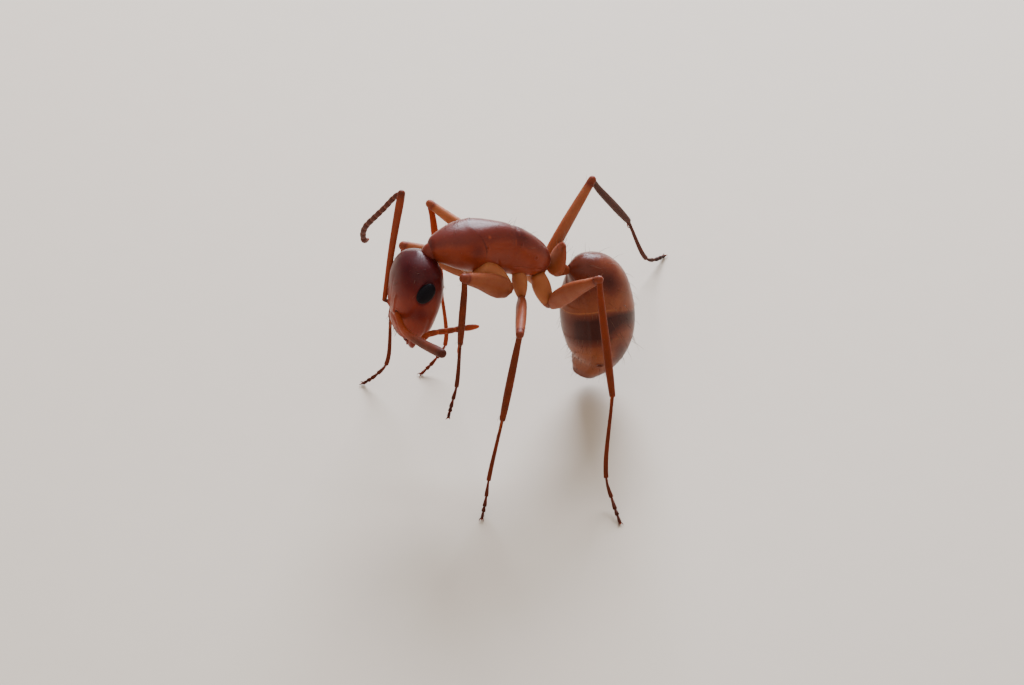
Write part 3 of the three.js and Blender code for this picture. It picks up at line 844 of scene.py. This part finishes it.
def make_palps():
    """Two pairs of thin jointed feelers folded under the mouth."""
    parts = []
    for sign in (-1, 1):
        for aside, reach in ((0.2, 0.75), (0.1, 0.45)):
            root = HEAD.centre(0.96) + HEAD_LEFT * sign * aside
            steps = ((0, 0.24), (-0.1, 0.4), (-reach * 0.6, 0.46), (-reach, 0.38))
            line = stations(root, (HEAD_ALONG, -FACE), steps)
            parts.append((*limb(Tube(line, palp_radius, palp_radius), 48, 12), 0.4))
    mesh_object("palps", parts, "head_shell")


def make_head():
    solid = plate(HEAD, 0.0, 1.0, 170, 176, 0.0, 0.06, head_tone)
    mesh_object("head_shell", [solid], "head_shell", "head")
    for side, sign in (("left", 1), ("right", -1)):
        make_eye(side, sign)
        make_mandible(side, sign)
    make_palps()
    neck = rod((HEAD.centre(0.06) - FACE * 0.3, (-1.84, 0, 6.66), (-1.55, 0, 6.7)), (0.26, 0.3, 0.36))
    mesh_object("neck", [(*limb(neck, 30, 32), 0.48)], "trunk_shell")


# ---- antennae ----
SCAPE_RADII = (0.58, 0.66, 0.72, 0.79, 0.85, 0.9, 0.95, 1.0, 1.04, 0.96)  # of the scape's size
FIRST_JOINT = profile((0.45, 0.6, 0.75, 0.88, 1.0, 1.02, 0.92))
MIDDLE_JOINT = profile((0.62, 0.82, 0.95, 1.0, 1.0, 0.98, 0.9))
LAST_JOINT = profile((0.7, 0.9, 1.0, 1.0, 0.9, 0.72, 0.4))


def make_antennae():
    """Makes both antennae and gives, for each side, the tubes of its scape and its funiculus."""
    tubes = {}
    for side, sign in (("left", 1), ("right", -1)):
        socket = HEAD.point(np.array([SOCKET_SHARE]), np.array([sign * SOCKET_TURN]), -0.03)[0]
        start, tip = np.array(SCAPES[side][0]), np.array(SCAPES[side][-1])
        scape = rod(SCAPES[side], [SCAPE_SIZE[side] * k for k in SCAPE_RADII])
        bulb = rod((socket, socket * 0.4 + start * 0.6 + FACE * 0.05, start), (0.09, 0.085, 0.05, 0.06))
        points, faces = limb(scape, 90, 32, round_ends=0.8)
        share = np.clip(progress(points, socket, tip), 0, 1)
        tone = 0.22 + SCAPE_DUSK[side] * ramp(share, 0.3, 0.6) + 0.2 * ramp(share, 0.9, 1.0)
        parts = [(points, faces, tone), (*limb(bulb, 24, 24), 0.6)]
        mesh_object(f"scape_{side}_shell", parts, "antenna_shell", f"scape_{side}")
        funiculus = rod([tip, *FUNICULI[side]], (0.07, 0.07))
        make_funiculus(side, funiculus)
        tubes[side] = (scape, funiculus)
    return tubes


def joint_spans():
    """Shares of the funiculus taken by its joints: the first and last are the longest."""
    sizes = np.array([1.35] + [1.0] * (FUNICULUS_JOINTS - 2) + [1.45])
    ends = np.r_[0, np.cumsum(sizes)] / sizes.sum()
    return list(zip(ends[:-1], ends[1:]))


def make_funiculus(side, line):
    parts = []
    shapes = [FIRST_JOINT] + [MIDDLE_JOINT] * (FUNICULUS_JOINTS - 2) + [LAST_JOINT]
    for i, ((start, finish), shape) in enumerate(zip(joint_spans(), shapes)):
        last = i == FUNICULUS_JOINTS - 1
        size = stretched(shape, 0.09 + 0.001 * min(i, 6), start, finish)
        tube = Tube(line.route(30), size, size)
        points, faces = limb(tube, 16, 24, start + 0.001, finish + (0.0 if last else 0.006), 0.4)
        way = unit(tube.centre(finish) - tube.centre(start))
        local = (points - tube.centre(start)) @ way / (tube.length * (finish - start))
        local = np.clip(local, 0, 1)
        base = FUNICULUS_TONE[side] + 0.12 * i / FUNICULUS_JOINTS
        parts.append((points, faces, base - 0.25 * bump(local, 1.0, 0.16) - (0.4 if last else 0) * local))
    mesh_object(f"funiculus_{side}_joints", parts, "antenna_shell", f"funiculus_{side}")


# ---- legs ----
COXA_RADII = (0.86, 1.0, 0.98, 0.78, 0.46)  # root to hip, of the coxa's size
FEMUR_BREADTHS = (0.7, 0.95, 1.0, 1.0, 1.0, 0.98, 0.94, 0.86, 0.76)  # hip to knee, of the breadth
TIBIA_RADII = (0.8, 0.84, 0.93, 1.0, 1.04, 1.06, 1.06, 1.02, 0.95, 0.8)  # knee to ankle
TARSUS_SHAPES = (
    profile((0.85, 0.8, 0.9, 1.0, 1.1, 1.15)),
    *[profile((0.6, 0.72, 0.9, 1.15, 1.3))] * 3,
    profile((0.55, 0.7, 0.9, 1.0, 0.95)),
)


def heading(azimuth, elevation):
    turn, rise = radians(azimuth), radians(elevation)
    return np.array([cos(rise) * cos(turn), cos(rise) * sin(turn), sin(rise)])


def leg_joints(pair, hip, angles, lifted):
    points = [np.array(hip, float)]
    for length, angle in zip(LEG_LENGTHS[pair], angles):
        points.append(points[-1] + heading(*angle) * length)
    if not lifted:
        points[4][2] = TOE_HEIGHT
    return points


def make_coxa(name, pair, root, hip):
    coxa = rod((root, root * 0.5 + hip * 0.5, hip), [COXA_SIZE[pair] * k for k in COXA_RADII])
    points, faces = limb(coxa, 50, 48, 0.0, 0.96)
    drop = ramp(progress(points, root, hip), 0.0, 1.0)
    tone = 0.14 - 0.08 * drop + 0.4 * bump(drop, 1, 0.08)
    mesh_object(f"{name}_shell", [(points, faces, tone)], "leg_shell", name)
    return coxa


def make_femur(name, pair, hip, knee, ankle, tone):
    """The femur, flat at its sides, and the trochanter that joins it to the hip."""
    direction = unit(knee - hip)
    trochanter = rod((hip - direction * 0.03, hip + direction * 0.33), (0.10, 0.125, 0.13, 0.11))
    deep = profile([FEMUR_SIZE[pair] * k for k in FEMUR_DEPTHS[pair]])
    thin = profile([FEMUR_BREADTH[pair] * k for k in FEMUR_BREADTHS])
    bend = unit(np.cross(direction, unit(ankle - knee)))
    back = unit(np.cross(bend, direction))
    start = hip + direction * FEMUR_START[pair]
    femur = Tube((start, (start + knee) / 2 - back * FEMUR_BOW, knee), thin, deep, bend)
    points, faces = limb(femur, 80, 40, round_ends=1.0)
    share = np.clip(progress(points, hip, knee), 0, 1)
    dusk = 0.35 * ramp(share, 0.88, 1.0) + 0.3 * bump(share, 0.955, 0.018)
    parts = [(*limb(trochanter, 20, 32), tone + 0.2), (points, faces, tone + dusk)]
    mesh_object(f"{name}_shell", parts, "leg_shell", name)
    return femur


def make_tibia(name, pair, hip, knee, ankle, heel, tone):
    """The tibia and the spur at its end."""
    shin = TIBIA_SIZE[pair]
    direction, down = unit(knee - hip), unit(ankle - knee)
    bow = np.cross(down, unit(np.cross(down, direction))) * TIBIA_BOW
    line = (knee, knee * 0.85 + ankle * 0.15 + bow, knee * 0.4 + ankle * 0.6 + bow * 0.5, ankle)
    tibia = rod(line, [shin * k for k in TIBIA_RADII])
    inner = unit(heel - ankle - down * np.dot(heel - ankle, down) + direction * 0.1)
    length, thick = SPUR[pair]
    start = ankle - down * 0.05 + inner * shin * 0.6
    spur = rod((start, start + down * length * 0.5 + inner * length * 0.22,
                start + down * length + inner * length * 0.12), (thick, thick * 0.8, thick * 0.25))
    parts = [(*limb(tibia, 90, 32), tone), (*limb(spur, 24, 10), tone - 0.2)]
    mesh_object(f"{name}_shell", parts, "shin_shell", name)
    return tibia


def make_tarsus(name, pair, ankle, heel, toe, tone, lifted):
    """The five joints from ankle to toe; gives the foot's line and the tube its bristles grow on."""
    middle = heel * 0.55 + toe * 0.45
    if not lifted:
        middle[2] = max(middle[2] - 0.12, TOE_HEIGHT + 0.02)
    line = rod((ankle, heel, middle, toe), (0.05, 0.05))
    basitarsus, rest = LEG_LENGTHS[pair][2:]
    at_heel = basitarsus / (basitarsus + rest)
    ends = [0.0, at_heel] + [at_heel + (1 - at_heel) * k for k in TARSUS_ENDS]
    route = line.route(20)
    parts = []
    for i, (start, finish, shape) in enumerate(zip(ends[:-1], ends[1:], TARSUS_SHAPES)):
        thick = TARSUS_SIZES[i] * (1.05 if pair == "hind" else 1.0)
        size = stretched(shape, thick, start, finish)
        tube = Tube(route, size, size)
        points, faces = limb(tube, 16 if i else 50, 20, start + 0.002, finish + 0.004 * (i < 4), 0.4)
        if not lifted:
            points[:, 2] = np.maximum(points[:, 2], SOLE_HEIGHT)
        parts.append((points, faces, tone + 0.06 * i - (0.0 if i else 0.1)))
    mesh_object(f"{name}_joints", parts, "foot_shell", name)
    return line, rod(route, (0.062, 0.055, 0.052, 0.055))


# ahead of the toe, aside and below
CLAW_LINE = ((-0.01, 0.015, 0.0), (0.06, 0.05, -0.012), (0.11, 0.065, 0.01), (0.125, 0.062, 0.038))


def make_claws(name, line, lifted):
    """Two hooked claws and the small pad between them."""
    tip, ahead = line.centre(1.0), line.tangent(1.0)
    if not lifted:
        ahead = unit(ahead * (1, 1, 0.0))
    across = unit(np.cross(ahead, UP if abs(ahead[2]) < 0.9 else RIGHT))
    below = np.cross(ahead, across)
    below *= -np.sign(below[2]) or 1
    parts = []
    for out in (-across, across):
        claw = rod(stations(tip, (ahead, out, below), CLAW_LINE), (0.022, 0.019, 0.012, 0.004))
        parts.append((*limb(claw, 20, 10), 0.95))
    pad = Tube((tip, tip + ahead * 0.07), profile((0.02, 0.03, 0.02)), profile((0.012, 0.014, 0.01)))
    parts.append((*limb(pad, 10, 12), 0.3))
    if not lifted:
        for points, _, _ in parts:
            points[:, 2] = np.maximum(points[:, 2], SOLE_HEIGHT)
    mesh_object(name, parts, "foot_shell")


def make_leg(name, pair, root, hip, angles, lifted):
    """Makes one leg and gives the tubes that its bristles grow on."""
    hip, knee, ankle, heel, toe = leg_joints(pair, hip, angles, lifted)
    femur_tone, tibia_tone, foot_tone = LEG_TONES[name]
    coxa = make_coxa(f"{name}_coxa", pair, np.array(root), hip)
    femur = make_femur(f"{name}_femur", pair, hip, knee, ankle, femur_tone)
    tibia = make_tibia(f"{name}_tibia", pair, hip, knee, ankle, heel, tibia_tone)
    line, foot = make_tarsus(f"{name}_tarsus", pair, ankle, heel, toe, foot_tone, lifted)
    make_claws(f"{name}_claws", line, lifted)
    return {"coxa": coxa, "femur": femur, "tibia": tibia, "foot": foot}


# ---- coats: tube, count, shares, turns, lengths, radius, lie, curl, spread ----
AROUND = (-pi, pi)


def make_gaster_coat():
    coat = Coat("gaster_bristles")
    coat.grow(GASTER, 900, (0.04, 0.97), AROUND, (0.06, 0.10), 0.0022, 0.93, 0.1, 0.2)
    for cut in GASTER_CUTS[1:-1]:
        turns = rng.uniform(*AROUND, 26)
        shares = cut - arch(turns) - 0.014 + rng.normal(0, 0.004, 26)
        coat.place(GASTER, shares, turns, (0.2, 0.36), 0.0042, 0.6, 0.2, 0.2)
    coat.grow(GASTER, 64, (0.06, 0.9), (-1.7, 1.7), (0.34, 0.6), 0.0055, 0.4, 0.3, 0.25)
    coat.grow(GASTER, 30, (0.5, 0.95), (1.9, 4.4), (0.2, 0.36), 0.0045, 0.5, 0.2, 0.25)
    coat.grow(GASTER, 22, (0.955, 0.985), AROUND, (0.07, 0.12), 0.004, 0.75, 0.1, 0.15)
    coat.finish()


def make_trunk_coat():
    coat = Coat("trunk_bristles")
    coat.grow(MESOSOMA, 520, (0.06, 0.95), AROUND, (0.05, 0.09), 0.0022, 0.9, 0.1, 0.25)
    coat.grow(MESOSOMA, 18, (0.1, 0.95), (-1.0, 1.0), (0.2, 0.36), 0.0055, 0.3, 0.25, 0.3)
    coat.grow(LEAF, 16, (0.72, 0.96), AROUND, (0.24, 0.42), 0.0055, 0.55, 0.2, 0.3)
    coat.finish()


def outside_eye(share, turn):
    return eye_reach(share, turn) > 1.2


def make_head_coat():
    coat = Coat("head_bristles")
    coat.grow(HEAD, 620, (0.05, 0.95), AROUND, (0.04, 0.075), 0.002, 0.92, 0.1, 0.25, keep=outside_eye)
    coat.grow(HEAD, 16, (0.08, 0.7), (-1.2, 1.2), (0.14, 0.24), 0.0045, 0.4, 0.2, 0.3, keep=outside_eye)
    coat.grow(HEAD, 24, (0.86, 0.95), (-0.9, 0.9), (0.14, 0.26), 0.0045, 0.75, 0.1, 0.2)
    coat.finish()


LEG_COAT = (
    ("coxa", 40, (0.1, 0.9), AROUND, (0.05, 0.09), 0.0025, 0.75, 0.1, 0.3),
    ("femur", 170, (0.05, 0.96), AROUND, (0.05, 0.08), 0.0022, 0.9, 0.1, 0.2),
    ("femur", 5, (0.93, 0.975), AROUND, (0.16, 0.26), 0.005, 0.4, 0.1, 0.3),
    ("tibia", 220, (0.03, 0.97), AROUND, (0.05, 0.08), 0.002, 0.9, 0.1, 0.15),
    ("tibia", 12, (0.35, 0.96), (-0.5, 0.5), (0.10, 0.15), 0.0045, 0.8, 0.1, 0.12),
    ("tibia", 6, (0.95, 0.98), AROUND, (0.15, 0.24), 0.005, 0.62, 0.1, 0.2),
    ("foot", 260, (0.02, 0.985), (-2.2, 2.2), (0.05, 0.08), 0.0026, 0.85, 0.1, 0.15),
)


def make_limb_coats(antennae, legs):
    for side, (scape, funiculus) in antennae.items():
        coat = Coat(f"antenna_{side}_down")
        coat.grow(scape, 260, (0.06, 0.98), AROUND, (0.04, 0.07), 0.002, 0.88, 0.1, 0.2)
        coat.grow(funiculus, 900, (0.01, 0.98), AROUND, (0.03, 0.05), 0.0022, 0.75, 0.1, 0.2, lift=0.005)
        coat.finish()
    for name, tubes in legs.items():
        coat = Coat(f"{name}_bristles")
        for part, *growth in LEG_COAT:
            coat.grow(tubes[part], *growth)
        coat.finish()


# ---- stage ----
CAMERA_TARGET = (0.0, -2.106, 4.22)  # the point of the body's own frame at the view's middle
CAMERA_TURN, CAMERA_RISE = -20.0, 40.0  # degrees
CAMERA_DISTANCE = 190.0  # mm
PIXELS_PER_MM = 33.0
IMAGE_WIDTH = 1024
FLOOR_HALF = 0.6  # metres
WARM, COOL = (1.0, 0.94, 0.86), (0.84, 0.89, 1.0)
LAMP_TARGET = Vector((0, 0, 0.004))
LAMPS = (  # name, place in mm, size in mm, watts, colour
    ("window", (70, 150, 95), 110, 0.95, COOL),
    ("key", (-70, -50, 170), 260, 0.16, WARM),
    ("fill", (120, -90, 60), 200, 0.04, WARM),
)


def make_floor():
    mesh = bpy.data.meshes.new("floor")
    corners = [(x * FLOOR_HALF, y * FLOOR_HALF, 0) for x, y in ((-1, -1), (1, -1), (1, 1), (-1, 1))]
    mesh.from_pydata(corners, [], [(0, 1, 2, 3)])
    mesh.materials.append(pale_floor())
    floor = bpy.data.objects.new("floor", mesh)
    bpy.context.collection.objects.link(floor)


def make_lights():
    world = bpy.data.worlds.new("studio")
    bpy.context.scene.world = world
    world.use_nodes = True
    sky = world.node_tree.nodes["Background"]
    sky.inputs["Color"].default_value = (1.0, 0.97, 0.93, 1)
    sky.inputs["Strength"].default_value = 0.42
    for name, place, size, watts, colour in LAMPS:
        lamp = bpy.data.lights.new(name, "AREA")
        lamp.size = size * MM
        lamp.energy = watts
        lamp.color = colour
        holder = bpy.data.objects.new(name, lamp)
        holder.location = [c * MM for c in place]
        aim = LAMP_TARGET - holder.location
        holder.rotation_euler = aim.to_track_quat("-Z", "Y").to_euler()
        bpy.context.collection.objects.link(holder)


def make_camera():
    data = bpy.data.cameras.new("camera")
    data.sensor_width = 36.0
    data.lens = PIXELS_PER_MM * CAMERA_DISTANCE / IMAGE_WIDTH * data.sensor_width
    data.clip_start, data.clip_end = 0.01, 5.0
    camera = bpy.data.objects.new("camera", data)
    turn, rise = radians(CAMERA_TURN), radians(CAMERA_RISE)
    back = Vector((sin(turn) * cos(rise), -cos(turn) * cos(rise), sin(rise)))
    camera.location = (Vector(CAMERA_TARGET) - Vector(ORIGIN) + back * CAMERA_DISTANCE) * MM
    camera.rotation_euler = (-back).to_track_quat("-Z", "Y").to_euler()
    bpy.context.collection.objects.link(camera)
    bpy.context.scene.camera = camera


make_floor()
make_lights()
make_camera()
make_mesosoma()
make_petiole()
make_gaster()
make_head()
antennae = make_antennae()
legs = {leg[0]: make_leg(*leg) for leg in LEGS}
make_gaster_coat()
make_trunk_coat()
make_head_coat()
make_limb_coats(antennae, legs)
